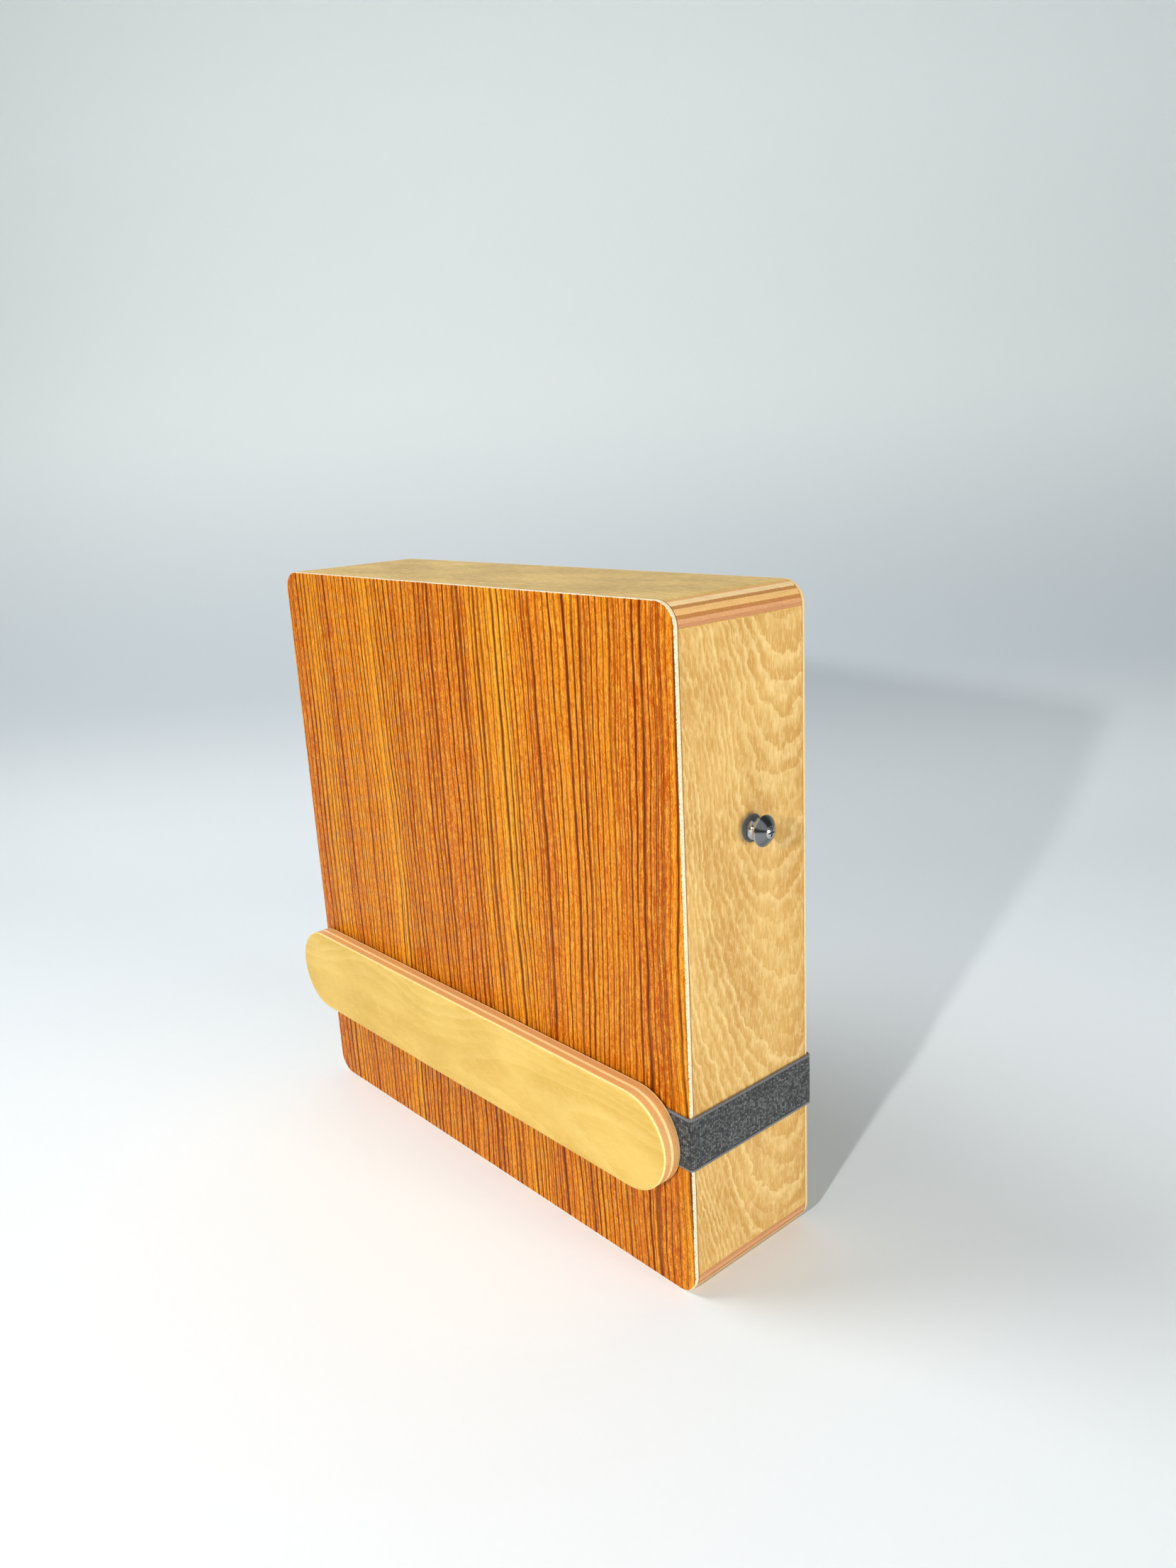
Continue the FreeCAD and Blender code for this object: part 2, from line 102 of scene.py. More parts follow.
class Paint:
    """A material's node tree. Each method adds a node and gives its output."""

    def __init__(self, name):
        self.material = bpy.data.materials.new(name)
        self.material.use_nodes = True
        self.tree = self.material.node_tree
        self.tree.nodes.clear()

    def node(self, kind, inputs=None, **settings):
        made = self.tree.nodes.new("ShaderNode" + kind)
        for name, value in settings.items():
            setattr(made, name, value)
        for key, value in (inputs or {}).items():
            if isinstance(value, bpy.types.NodeSocket):
                self.tree.links.new(value, made.inputs[key])
            else:
                made.inputs[key].default_value = value
        return made

    def math(self, operation, *values):
        return self.node("Math", dict(enumerate(values)), operation=operation).outputs[0]

    def add(self, a, b):
        return self.math("ADD", a, b)

    def times(self, a, b):
        return self.math("MULTIPLY", a, b)

    def per(self, value, size):
        """A length in millimetres, counted in features of a size."""
        return self.times(value, 1 / size)

    def vector(self, x, y, z):
        return self.node("CombineXYZ", {0: x, 1: y, 2: z}).outputs[0]

    def place(self):
        """Where a point of the piece is at rest, in millimetres, as a dictionary of x, y and z."""
        coordinates = self.node("TexCoord").outputs["Object"]
        scaled = self.node("VectorMath", {0: coordinates, 3: 1 / MM}, operation="SCALE")
        return dict(zip("xyz", self.node("SeparateXYZ", {0: scaled.outputs[0]}).outputs))

    def noise(self, x, y, z, detail=2.0, roughness=0.5, distortion=0.0):
        inputs = {
            "Vector": self.vector(x, y, z),
            "Scale": 1.0,
            "Detail": detail,
            "Roughness": roughness,
            "Distortion": distortion,
        }
        return self.node("TexNoise", inputs).outputs["Fac"]

    def speckle(self, place, size, detail=2.0, roughness=0.5, distortion=0.0):
        """Noise with features of one size in every direction."""
        scaled = [self.per(value, size) for value in place.values()]
        return self.noise(*scaled, detail, roughness, distortion)

    def stretched(self, place, along, length, width):
        """A place counted in features that are long in one direction and narrow in the others."""
        return [self.per(place[k], length if k == along else width) for k in "xyz"]

    def sway(self, noise, reach):
        """Noise as a shift of up to reach each way."""
        return self.times(self.math("SUBTRACT", noise, 0.5), 2 * reach)

    def dice(self, x, y, z=0.0):
        """A number from 0 to 1 for each cell of whole coordinates."""
        inputs = {"Vector": self.vector(x, y, z)}
        return self.node("TexWhiteNoise", inputs, noise_dimensions="3D").outputs["Value"]

    def step(self, value, low, high, out_low=0.0, out_high=1.0):
        inputs = {0: value, 1: low, 2: high, 3: out_low, 4: out_high}
        made = self.node("MapRange", inputs, interpolation_type="SMOOTHSTEP")
        return made.outputs[0]

    def ramp(self, value, stops, smooth=True):
        """Colours along a value, from (place, colour) pairs."""
        made = self.node("ValToRGB", {0: value})
        made.color_ramp.interpolation = "EASE" if smooth else "LINEAR"
        elements = made.color_ramp.elements
        while len(elements) < len(stops):
            elements.new(0.5)
        for element, (place, colour) in zip(elements, stops):
            element.position = place
            element.color = colour
        return made.outputs["Color"]

    def mix(self, share, a, b):
        return self.node("Mix", {0: share, 6: a, 7: b}, data_type="RGBA").outputs[2]

    def tint_where_high(self, colour, value, low, high, amount, tint):
        """Mixes in a tint as a value rises from low to high."""
        return self.mix(self.step(value, low, high, 0.0, amount), colour, tint)

    def tint_where_low(self, colour, value, low, high, amount, tint):
        """Mixes in a tint as a value falls from high to low."""
        return self.mix(self.step(value, low, high, amount, 0.0), colour, tint)

    def bump(self, height, distance, strength):
        inputs = {"Height": height, "Distance": distance, "Strength": strength}
        return self.node("Bump", inputs).outputs["Normal"]

    def finish(self, colour, roughness, normal=None, **constants):
        """The shader itself. What is constant over the surface is set on its own socket."""
        inputs = {"Base Color": colour, "Roughness": roughness}
        if normal is not None:
            inputs["Normal"] = normal
        shader = self.node("BsdfPrincipled", inputs)
        for name, value in constants.items():
            shader.inputs[name.replace("_", " ")].default_value = value
        output = self.node("OutputMaterial", {"Surface": shader.outputs[0]})
        output.is_active_output = True
        return self.material


def beyond_outline(p, place, node):
    """How far a point lies outside a plate's rounded outline, in millimetres, below 0 inside."""
    low, high = (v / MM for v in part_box(node))
    radius = CORNER_RADIUS / MM
    sides = []
    for value, a, b in ((place["x"], low.x, high.x), (place["z"], low.z, high.z)):
        from_middle = p.math("ABSOLUTE", p.add(value, -(a + b) / 2))
        sides.append(p.add(from_middle, radius - (b - a) / 2))
    outside = [p.math("POWER", p.math("MAXIMUM", side, 0.0), 2.0) for side in sides]
    corner = p.math("SQRT", p.add(*outside))
    inside = p.math("MINIMUM", p.math("MAXIMUM", *sides), 0.0)
    return p.add(p.add(corner, inside), -radius)


def growth_lines(p, drift, z, pitch, crowd, seed, thin, thick):
    """A mask of thin lines at uneven places, each with its own width and strength.

    It also gives where a point is between two lines' middles, as a share from 0 to 1.
    drift: the place across the grain, pushed about. pitch, thin and thick: millimetres.
    """
    crowding = p.sway(p.noise(p.per(drift, pitch * 4.4), seed, 0.0, 1.0), crowd)
    count = p.add(p.per(drift, pitch), crowding)
    line = p.math("FLOOR", p.add(count, 0.5))
    share = p.math("FRACT", p.add(count, 0.5))
    off = p.math("ABSOLUTE", p.add(share, -0.5))
    weight = p.dice(line, seed)
    fading = p.noise(p.times(line, 7.3), seed, p.per(z, 45), 2.0)
    strength = p.times(p.step(weight, 0.0, 0.7, 0.6, 1.0), p.step(fading, 0.25, 0.55, 0.55, 1.0))
    width = p.step(weight, 0.2, 1.0, thin / pitch, thick / pitch)
    mask = p.step(p.math("DIVIDE", off, width), 0.35, 1.0, 1.0, 0.0)
    return p.times(mask, strength), share


def striped_veneer():
    """Golden-brown face veneer: fine dark growth lines down the plate over a speckled ground."""
    p = Paint("striped_veneer")
    place = p.place()
    x, y, z = place.values()
    lean = p.sway(p.noise(p.per(x, 70), 0.0, p.per(z, 260), 1.0), 9.0)
    wave = p.sway(p.noise(p.per(x, 15), 3.7, p.per(z, 38), 2.0), 1.4)
    quiver = p.sway(p.noise(p.per(x, 2.2), 8.1, p.per(z, 6), 2.0), 0.3)
    drift = p.add(p.add(x, lean), p.add(wave, quiver))

    main_line, share = growth_lines(p, drift, z, 3.8, 1.2, 4.0, thin=0.5, thick=0.95)
    between_line, _ = growth_lines(p, drift, z, 1.9, 0.9, 11.0, thin=0.28, thick=0.56)
    crowded = p.step(p.noise(p.per(drift, 11), 6.0, p.per(z, 240), 1.0), 0.42, 0.6)
    between_line = p.times(between_line, p.step(crowded, 0.0, 1.0, 0.4, 1.0))
    # the ground darkens towards each main line and is light again right behind it
    shade = p.times(p.step(share, 0.1, 0.49, 0.0, 1.0), p.step(share, 0.5, 0.53, 1.0, 0.0))

    tones = [
        (0.30, rgb(190, 78, 0)),
        (0.44, rgb(208, 104, 0)),
        (0.56, rgb(224, 130, 4)),
        (0.70, rgb(238, 156, 26)),
    ]
    base = p.ramp(p.noise(p.per(drift, 26), 0.0, p.per(z, 1200), 2.0, 0.6), tones)
    worm = p.noise(drift, p.per(y, 0.8), p.per(z, 2.0), 3.0, 0.72, 0.8)
    streak = p.noise(p.per(drift, 0.5), y, p.per(z, 14), 3.0, 0.65)
    base = p.tint_where_high(base, streak, 0.45, 0.66, 0.6, rgb(250, 186, 76))
    base = p.tint_where_low(base, streak, 0.28, 0.48, 0.42, rgb(160, 58, 0))
    base = p.tint_where_high(base, worm, 0.5, 0.64, 0.6, rgb(248, 180, 58))
    base = p.tint_where_low(base, worm, 0.36, 0.48, 0.5, rgb(164, 62, 0))
    base = p.mix(p.times(shade, 0.42), base, rgb(136, 46, 0))
    base = p.mix(p.times(between_line, 0.7), base, rgb(110, 36, 0))
    base = p.mix(p.times(main_line, 0.92), base, rgb(94, 30, 0))

    chips = p.speckle(place, 0.9, 3.0, 0.7)
    beyond = beyond_outline(p, place, "tapa_veneer")
    edge = p.step(p.add(beyond, p.sway(chips, 0.45)), -0.4, -0.12)
    pale = p.ramp(chips, [(0.35, rgb(226, 190, 140)), (0.55, rgb(252, 240, 206))])
    colour = p.mix(edge, base, pale)

    height = p.add(p.times(main_line, -0.9), p.times(between_line, -0.5))
    height = p.add(height, p.times(worm, 0.7))
    roughness = p.step(worm, 0.3, 0.8, 0.34, 0.5)
    normal = p.bump(height, 0.14 * MM, 0.6)
    return p.finish(colour, roughness, normal, Specular_IOR_Level=0.09)


# A face ply's three colours, where across the board its figure's arches have their tips, how
# curved they are, how far apart, and how strong the figure and the flecks are.
FaceLook = namedtuple("FaceLook", "pale middle dark centre bow pitch figured flecked")


def figured_face(p, g, c, look, seed):
    """A birch face ply: arched rings along the board under flecks. It also gives the flecks.

    g, c: the place along the grain and across it.
    """
    wander = p.sway(p.noise(p.per(c, 60), seed, p.per(g, 120), 1.0), 16.0)
    ripple = p.sway(p.noise(p.per(c, 7), seed + 5, p.per(g, 16), 2.0, 0.6), 1.9)
    ragged = p.sway(p.noise(p.per(c, 1.3), seed + 7, p.per(g, 3.4), 2.0, 0.6), 0.8)
    from_centre = p.add(p.add(p.add(c, -look.centre), wander), p.add(ripple, ragged))
    arch = p.times(p.math("POWER", p.math("ABSOLUTE", from_centre), 2.0), look.bow)
    slip = p.sway(p.noise(p.per(c, 9), seed + 4, p.per(g, 9), 2.0, 0.6), 10.0)
    rings = p.per(p.math("SUBTRACT", p.add(g, slip), arch), look.pitch)
    ring = p.math("FRACT", rings)
    ring_weight = p.step(p.dice(p.math("FLOOR", rings), seed), 0.0, 1.0, 0.35, 1.0)
    early = p.times(p.step(ring, 0.3, 0.86), p.step(ring, 0.9, 1.0, 1.0, 0.0))
    glow = p.times(early, ring_weight)
    late = p.times(p.step(ring, 0.0, 0.4, 1.0, 0.0), ring_weight)
    fleck = p.noise(p.per(c, 0.8), seed + 2, p.per(g, 5), 3.0, 0.62)
    cloud = p.noise(p.per(c, 26), seed + 9, p.per(g, 55), 2.0)
    curl = p.noise(p.per(c, 3.2), seed + 12, p.per(g, 8), 2.0, 0.6, 0.5)

    face = p.mix(p.step(cloud, 0.3, 0.7), look.dark, look.middle)
    face = p.mix(p.times(late, 0.4 * look.figured), face, look.dark)
    face = p.mix(p.times(glow, 0.55 * look.figured), face, look.pale)
    face = p.tint_where_high(face, curl, 0.5, 0.66, 0.3 * look.flecked, look.pale)
    face = p.tint_where_low(face, curl, 0.32, 0.46, 0.3 * look.flecked, look.dark)
    face = p.tint_where_high(face, fleck, 0.5, 0.7, 0.5 * look.flecked, look.pale)
    face = p.tint_where_low(face, fleck, 0.3, 0.46, 0.5 * look.flecked, look.dark)
    return face, fleck


def layered_edge(p, place, depth, plies, across):
    """The plies as the board's edge shows them. It also gives the specks of their end grain."""
    wobble = p.sway(p.noise(p.per(place["x"], 11), place["y"], place["z"], 2.0), 0.14)
    total = sum(thickness for thickness, _ in plies)
    blend, reached, stops = 0.07, 0.0, []
    for thickness, colour in plies:
        stops.append(((reached + blend) / total, colour))
        reached += thickness
        stops.append(((reached - blend) / total, colour))
    layered = p.ramp(p.per(p.add(depth, wobble), total), stops, smooth=False)
    speck = p.speckle(place, 0.4, 3.0, 0.7)
    streak = p.noise(*p.stretched(place, across, 9, 0.5), 2.0)
    edge = p.tint_where_high(layered, speck, 0.45, 0.75, 0.3, rgb(252, 226, 172))
    edge = p.tint_where_low(edge, speck, 0.3, 0.45, 0.32, rgb(150, 92, 45))
    edge = p.tint_where_high(edge, streak, 0.5, 0.7, 0.2, rgb(158, 98, 54))
    return edge, speck


def plywood(name, along, across, depth_under, plies, look, seed, seam=None):
    """Birch plywood as a solid: figured face plies, and each ply's own colour on the edges.

    along, across: the face ply's grain direction and the direction across it, "x", "y" or "z".
    depth_under: gives the depth under the outer face, in millimetres, from a paint and its place.
    plies: (thickness in mm, colour) of each ply from the outer face inwards.
    seed: sets the board's figure apart from the others'.
    seam: gives how far a point is inside a glued seam's shadow, 0 to 1.
    """
    p = Paint(name)
    place = p.place()
    depth = depth_under(p, place)
    face, fleck = figured_face(p, place[along], place[across], look, seed)
    edge, speck = layered_edge(p, place, depth, plies, across)
    total = sum(thickness for thickness, _ in plies)
    skin = 0.25
    under_outer = p.step(depth, skin, 2 * skin)
    under_inner = p.step(depth, total - 2 * skin, total - skin, 1.0, 0.0)
    on_edge = p.times(under_outer, under_inner)
    colour = p.mix(on_edge, face, edge)
    if seam:
        colour = p.mix(seam(p, place), colour, rgb(96, 58, 26))
    height = p.add(p.times(fleck, 0.6), p.times(p.times(speck, on_edge), 1.2))
    roughness = p.step(fleck, 0.2, 0.8, 0.5, 0.36)
    normal = p.bump(height, 0.1 * MM, 0.4)
    return p.finish(colour, roughness, normal, Specular_IOR_Level=0.2)


def cream_core():
    """The striking plate's plain core, seen as a pale line with a darker line at its back edge."""
    back = (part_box("tapa_core")[1] / MM).y
    p = Paint("cream_core")
    place = p.place()
    x, y, z = place.values()
    speck = p.noise(p.per(x, 0.6), p.per(y, 0.5), p.per(z, 0.6), 3.0, 0.7)
    layer = p.add(y, p.sway(speck, 0.2))
    cream = p.ramp(speck, [(0.32, rgb(226, 196, 150)), (0.55, rgb(250, 238, 204))])
    face = p.noise(p.per(x, 0.8), y, p.per(z, 14), 3.0, 0.6)
    inner = p.ramp(face, [(0.3, rgb(196, 160, 108)), (0.7, rgb(226, 194, 142))])
    colour = p.mix(p.step(layer, back - 0.45, back - 0.3), cream, rgb(222, 178, 112))
    colour = p.mix(p.step(layer, back - 0.2, back - 0.1), colour, rgb(128, 84, 44))
    beyond = beyond_outline(p, place, "tapa_core")
    colour = p.mix(p.step(beyond, -1.2, -0.8, 1.0, 0.0), colour, inner)
    normal = p.bump(speck, 0.1 * MM, 0.5)
    return p.finish(colour, p.step(speck, 0.2, 0.8, 0.6, 0.45), normal, Specular_IOR_Level=0.25)


def solid_wood(name, grain, pale, dark, pores):
    """Planed solid wood inside the box: rings across the grain and fine fibres along it."""
    p = Paint(name)
    place = p.place()
    stretched = p.stretched(place, grain, 70, 1)
    sweep = p.sway(p.noise(*(p.per(v, 9) for v in stretched), 2.0), 3.0)
    from_heart = [
        p.math("POWER", p.add(place[k], heart), 2.0)
        for k, heart in zip([k for k in "xyz" if k != grain], (31.0, 17.0))
    ]
    reach = p.math("SQRT", p.add(*from_heart))
    ring = p.math("FRACT", p.per(p.add(reach, sweep), 2.1))
    fibre = p.noise(*(p.per(v, 0.4) for v in stretched), 3.0, 0.65)
    pore = p.noise(*(p.per(v, 0.25) for v in stretched), 1.0)
    colour = p.mix(p.step(ring, 0.35, 0.95), pale, dark)
    colour = p.tint_where_low(colour, fibre, 0.3, 0.7, 0.35, dark)
    colour = p.tint_where_high(colour, pore, 0.64, 0.7, pores, rgb(120, 78, 44))
    roughness = p.step(fibre, 0.2, 0.8, 0.72, 0.55)
    return p.finish(colour, roughness, p.bump(fibre, 0.15 * MM, 0.5), Specular_IOR_Level=0.35)


def metal(name, dark, pale, smooth, rough, scratch_along="z", dark_reflection=None):
    """Metal with a fine lengthwise brushing and faint blotches.

    The last argument, a function, gives how far a point is darkened by a painted dark reflection, 0
    to 1.
    """
    p = Paint(name)
    place = p.place()
    brushing = p.noise(*p.stretched(place, scratch_along, 6, 0.35), 3.0, 0.7)
    blotch = p.speckle(place, 3.5)
    colour = p.mix(p.step(p.add(brushing, p.times(blotch, 0.6)), 0.5, 1.1), dark, pale)
    if dark_reflection:
        # painted dark reflection: the metal darkens towards this grey, standing in for the dark
        # surroundings it would mirror
        colour = p.mix(dark_reflection(p, place), colour, rgb(116, 117, 118))
    roughness = p.step(p.add(brushing, blotch), 0.6, 1.4, smooth, rough)
    return p.finish(colour, roughness, p.bump(brushing, 0.02 * MM, 0.35), Metallic=1.0)


def felt():
    """Dark grey felt with a mottled, fluffy surface."""
    p = Paint("felt")
    fluff = p.speckle(p.place(), 0.3, 4.0, 0.75, 0.8)
    greys = [(0.3, rgb(48, 49, 51)), (0.55, rgb(86, 88, 89)), (0.75, rgb(124, 125, 124))]
    normal = p.bump(fluff, 0.25 * MM, 0.9)
    return p.finish(p.ramp(fluff, greys), p.step(fluff, 0.2, 0.8, 0.98, 0.85), normal,
                    Sheen_Weight=0.5, Sheen_Roughness=0.5, Specular_IOR_Level=0.2)


def woven_elastic(length, width):
    """Charcoal heather elastic: ribs across it, each of short threads in mixed greys, with painted
    shade in its hollows.
    """
    p = Paint("woven_elastic")
    uv = p.node("SeparateXYZ", {0: p.node("UVMap", uv_map="weave").outputs[0]}).outputs
    u = p.times(uv[0], length / MM)
    v = p.times(uv[1], width / MM)
    rib = p.per(u, RIB_PITCH / MM)
    rib_index = p.math("FLOOR", rib)
    in_rib = p.math("FRACT", rib)
    shifted = p.add(p.per(v, THREAD_PITCH / MM), p.dice(rib_index, 2.0))
    thread = p.math("FLOOR", shifted)
    in_thread = p.math("FRACT", shifted)
    tone = p.dice(rib_index, thread, 7.0)
    fibre = p.noise(p.per(u, 0.16), p.per(v, 0.5), 0.0, 3.0, 0.7)
    twist = p.math("FRACT", p.add(p.per(v, 0.42), p.per(u, 0.55)))
    greys = [
        (0.12, rgb(26, 27, 29)),
        (0.42, rgb(56, 57, 59)),
        (0.66, rgb(92, 93, 94)),
        (0.86, rgb(128, 129, 129)),
        (0.98, rgb(178, 179, 180)),
    ]
    colour = p.ramp(p.add(p.add(p.times(tone, 0.56), 0.1), p.times(fibre, 0.34)), greys)
    # painted shade: the valleys between the ribs and the gaps between the threads are darkened
    rib_valley_shade = p.step(p.math("ABSOLUTE", p.add(in_rib, -0.5)), 0.3, 0.5, 0.0, 0.85)
    thread_gap_shade = p.step(p.math("ABSOLUTE", p.add(in_thread, -0.5)), 0.34, 0.5, 0.0, 0.5)
    colour = p.mix(rib_valley_shade, colour, rgb(16, 17, 18))
    colour = p.mix(thread_gap_shade, colour, rgb(24, 25, 26))

    from_middle = p.math("ABSOLUTE", p.add(v, -width / MM / 2))
    seam = (width / 2 - SELVEDGE_WIDTH) / MM
    selvedge = p.step(from_middle, seam, seam + 0.2)
    groove = p.times(p.step(from_middle, seam - 0.4, seam),
                     p.step(from_middle, seam, seam + 0.4, 1.0, 0.0))
    stitch = p.math("FRACT", p.per(u, SELVEDGE_PITCH / MM))
    from_stitch = p.math("ABSOLUTE", p.add(stitch, -0.5))
    edge_colour = p.mix(p.step(from_stitch, 0.1, 0.45), rgb(150, 151, 152), rgb(60, 61, 63))
    colour = p.mix(p.times(selvedge, 0.85), colour, edge_colour)
    # painted shade in the groove between the selvedge and the ribs
    colour = p.mix(p.times(groove, 0.8), colour, rgb(14, 15, 16))
    height = p.add(p.times(tone, 0.5), p.add(p.times(fibre, 0.6), p.times(twist, 0.25)))
    roughness = p.step(fibre, 0.2, 0.8, 0.92, 0.72)
    return p.finish(colour, roughness, p.bump(height, 0.22 * MM, 0.8), Sheen_Weight=0.25,
                    Sheen_Roughness=0.45, Specular_IOR_Level=0.25)


def studio_paper():
    """Seamless paper with painted shade: bright at the floor, greyer where it starts to rise,
    bright again above.
    """
    p = Paint("studio_paper")
    place = p.place()
    tooth = p.speckle(place, 4, 3.0)
    # painted shade: the greyer band where the floor starts to rise into the wall
    tones = [(0.0, rgb(244, 250, 254)), (0.12, rgb(214, 223, 229)), (0.5, rgb(248, 254, 255))]
    shade = p.ramp(p.per(place["z"], 900), tones)
    shade = p.tint_where_high(shade, tooth, 0.2, 0.8, 0.02, rgb(200, 206, 210))
    return p.finish(shade, p.step(tooth, 0.2, 0.8, 0.85, 0.95), Specular_IOR_Level=0.1)


# ---------------------------------------------------------------- meshes


def piece(name, points, faces, material, uv=None):
    """A mesh object from points in the row frame. uv gives a (u, v) pair for each face corner."""
    mesh = bpy.data.meshes.new(name)
    mesh.from_pydata([tuple(map(float, q)) for q in points], [], faces)
    if uv is not None:
        layer = mesh.uv_layers.new(name="weave")
        layer.data.foreach_set("uv", np.asarray(uv, dtype=np.float32).ravel())
    mesh.polygons.foreach_set("use_smooth", [True] * len(mesh.polygons))
    mesh.materials.append(material)
    mesh.update()
    made = bpy.data.objects.new(name, mesh)
    bpy.context.scene.collection.objects.link(made)
    return made


def tube_faces(stations, around):
    """Quads between rings of points and a face at each end, wound so that they face outward."""
    faces = []
    for s in range(stations - 1):
        for k in range(around):
            a, b = s * around + k, s * around + (k + 1) % around
            faces.append((a, b, b + around, a + around))
    faces.append(tuple(reversed(range(around))))
    faces.append(tuple(range((stations - 1) * around, stations * around)))
    return faces


def loop_runs(half_x, half_y, radius, start_x):
    """The lines and turns of a rounded rectangle, as (kind, start or centre, direction or start
    angle, length). They go from (-start_x, -half_y) left round the back to (start_x, -half_y)."""
    quarter = radius * math.pi / 2
    return [
        ("line", (-start_x, -half_y), (-1, 0), half_x - radius - start_x),
        ("turn", (-half_x + radius, -half_y + radius), -90, quarter),
        ("line", (-half_x, -half_y + radius), (0, 1), 2 * (half_y - radius)),
        ("turn", (-half_x + radius, half_y - radius), 180, quarter),
        ("line", (-half_x + radius, half_y), (1, 0), 2 * (half_x - radius)),
        ("turn", (half_x - radius, half_y - radius), 90, quarter),
        ("line", (half_x, half_y - radius), (0, -1), 2 * (half_y - radius)),
        ("turn", (half_x - radius, -half_y + radius), 0, quarter),
        ("line", (half_x - radius, -half_y), (-1, 0), half_x - radius - start_x),
    ]


def follow(runs, radius, distances):
    """Points and outward normals at distances along lines and turns."""
    points, normals = [], []
    for left in distances:
        for run in runs:
            kind, base, direction, reach = run
            if left <= reach or run is runs[-1]:
                break
            left -= reach
        if kind == "line":
            (x, y), (dx, dy) = base, direction
            points.append((x + dx * left, y + dy * left))
            normals.append((-dy, dx))
        else:
            angle = math.radians(direction) - left / radius
            nx, ny = math.cos(angle), math.sin(angle)
            points.append((base[0] + radius * nx, base[1] + radius * ny))
            normals.append((nx, ny))
    return np.array(points), np.array(normals)


def carved_depth(along, v, from_edge):
    """How deep the ribs, threads, selvedges and grooves lie, per station and point across."""
    rib_wave = np.abs(np.sin(np.pi * along / RIB_PITCH))[:, None] ** 0.7
    flip = np.where(np.floor(along / RIB_PITCH)[:, None] % 2 == 0, 1, -1)
    weave = 0.5 + 0.5 * np.cos(2 * np.pi * (v / THREAD_PITCH))[None, :] * flip
    body = (1 - rib_wave) * RIB_DEPTH + weave * THREAD_DEPTH
    selvedge_wave = np.abs(np.sin(np.pi * along / SELVEDGE_PITCH))[:, None]
    selvedge = (1 - selvedge_wave) * SELVEDGE_DEPTH
    from_groove = (from_edge - GROOVE_PLACE) / GROOVE_SPREAD
    groove = np.exp(-(from_groove**2))[None, :] * GROOVE_DEPTH
    on_selvedge = (1 / (1 + np.exp((from_edge - SELVEDGE_WIDTH) / (0.08 * MM))))[None, :]
    return body * (1 - on_selvedge) + selvedge * on_selvedge + groove


def elastic_loop():
    """The woven elastic from one stapled end round the sides and back to the other."""
    run_low, run_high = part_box("elastic_band")
    width = run_high.z - run_low.z
    middle = (run_high.z + run_low.z) / 2
    turn = BAND_BEND + BAND_THICKNESS
    runs = loop_runs(run_high.x, run_high.y, turn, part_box("band_end_right")[0].x)
    length = sum(run[3] for run in runs)
    per_rib = 4
    stations = round(length / RIB_PITCH) * per_rib + 1
    share = np.linspace(0, 1, stations)
    along = share * length
    path, normals = follow(runs, turn, along)

    # points across the outside, a little closer near its edges, then back along the inside
    outer_count, inner_count = 61, 9
    even = np.linspace(-1, 1, outer_count)
    outside = np.sin(even * math.pi / 2) * 0.25 + even * 0.75
    inside = np.linspace(1, -1, inner_count + 2)[1:-1]
    v = np.concatenate([outside, inside]) * width / 2
    around = len(v)
    from_edge = width / 2 - np.abs(v)

    half = BAND_THICKNESS / 2
    fullness = np.sqrt(1 - np.clip(1 - from_edge / BAND_EDGE_ROUND, 0, 1) ** 2)
    outer = half + (half - carved_depth(along, v, from_edge)) * fullness[None, :]
    end_reach = np.minimum(along, length - along)[:, None]
    recess = BAND_END_CLEARANCE * np.clip((BAND_END_REACH - end_reach) / BAND_END_EASE, 0, 1)
    inner = half * (1 - fullness[None, :]) + recess
    lifts = np.concatenate([outer[:, :outer_count], inner[:, outer_count:]], axis=1)

    xy = path[:, None, :] + normals[:, None, :] * (lifts - BAND_THICKNESS)[:, :, None]
    points = np.empty((stations, around, 3))
    points[:, :, :2] = xy
    points[:, :, 2] = middle + v[None, :]
    faces = tube_faces(stations, around)
    corners = [i for face in faces for i in face]
    u_at = np.repeat(share, around)
    v_at = np.tile(v / width + 0.5, stations)
    uv = np.stack([u_at[corners], v_at[corners]], axis=1)
    band = piece("woven_elastic_band", points.reshape(-1, 3), faces,
                 woven_elastic(length, width), uv)
    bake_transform(band)
    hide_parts("elastic_band", "band_end_left", "band_end_right")


def string_foot_offset(side, high, middle):
    """Half the distance between a carrier's two string holes, from the strings' own mesh."""
    feet = [abs(v.co.x - middle) for v in nodes[f"snare_strings_{side}"].data.vertices
            if v.co.y > high.y - 0.5 * MM]
    return (min(feet) + max(feet)) / 2


def string_path(start, foot, down, back_y):
    """Points and directions from a string's start, down the plate and round into its carrier."""
    out = Vector((0, 1, 0))
    half_winding = WINDING_PITCH / 2
    bend_start = foot - down * STRING_BEND
    straight = (bend_start - start).length
    steps = round(straight / half_winding)
    path = [(start + down * straight * i / steps, down) for i in range(steps + 1)]
    centre = bend_start + out * STRING_BEND
    bend_steps = 8
    for i in range(1, bend_steps + 1):
        angle = math.pi / 2 * i / bend_steps
        at = centre - out * STRING_BEND * math.cos(angle) + down * STRING_BEND * math.sin(angle)
        path.append((at, (down * math.cos(angle) + out * math.sin(angle)).normalized()))
    bend_end = path[-1][0]
    tail = back_y - bend_end.y
    steps = round(tail / half_winding)
    return path + [(bend_end + out * tail * i / steps, out) for i in range(1, steps + 1)]


